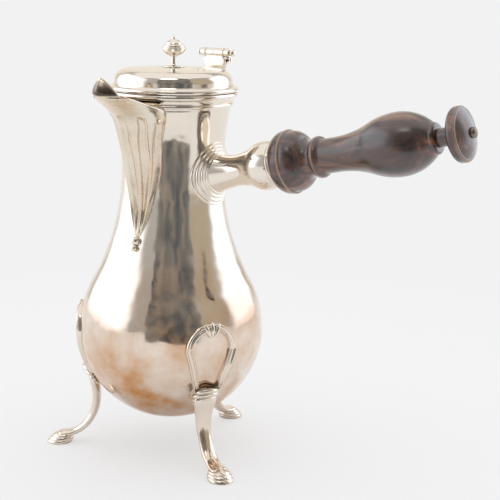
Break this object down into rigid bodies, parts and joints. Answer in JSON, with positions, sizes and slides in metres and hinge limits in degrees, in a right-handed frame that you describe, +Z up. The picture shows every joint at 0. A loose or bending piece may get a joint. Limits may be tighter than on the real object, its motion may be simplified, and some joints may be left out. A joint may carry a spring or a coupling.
{
  "type": "coffee pot",
  "caption": "Pear-shaped silver coffee pot on three cast feet, with a fluted beak spout, a turned dark wood side handle and a hinged lid with a bud finial.",
  "frame": {"origin": "on the pot's upright axis, in the plane that the three feet stand on", "axes": "+Z up the pot's axis; -Y towards the spout; +X towards the side handle; +Y towards the lid hinge"},
  "size_m": [0.2488, 0.1436, 0.24],
  "materials": {
    "silver": "polished, hand raised, with light warm tarnish",
    "wood": "turned and waxed, worn on the ridges",
    "iron": "plain drawn rod"
  },
  "bodies": {
    "pot": {"body": "silver", "mouth_moulding": "silver", "spout": "silver", "spout_drop": "silver", "foot_right": "silver", "foot_left": "silver", "foot_rear": "silver", "handle_escutcheon": "silver", "handle_socket": "silver", "handle_ring": "silver", "handle_grip": "wood", "handle_knob": "wood", "handle_rod": "iron", "handle_stud": "silver", "handle_anchor": "silver", "hinge_strap": "silver", "hinge_pin": "silver"},
    "lid": {"lid_dome": "silver", "lid_flange": "silver", "lid_bezel": "silver", "lid_leaf": "silver", "finial": "silver", "finial_washer": "silver", "finial_nut": "silver"}
  },
  "joints": [
    {"name": "lid_hinge", "type": "hinge", "parent": "pot", "child": "lid", "pos_m": [0, 0.0435, 0.229], "axis": [-1, 0, 0], "range_deg": [0, 110]}
  ]
}
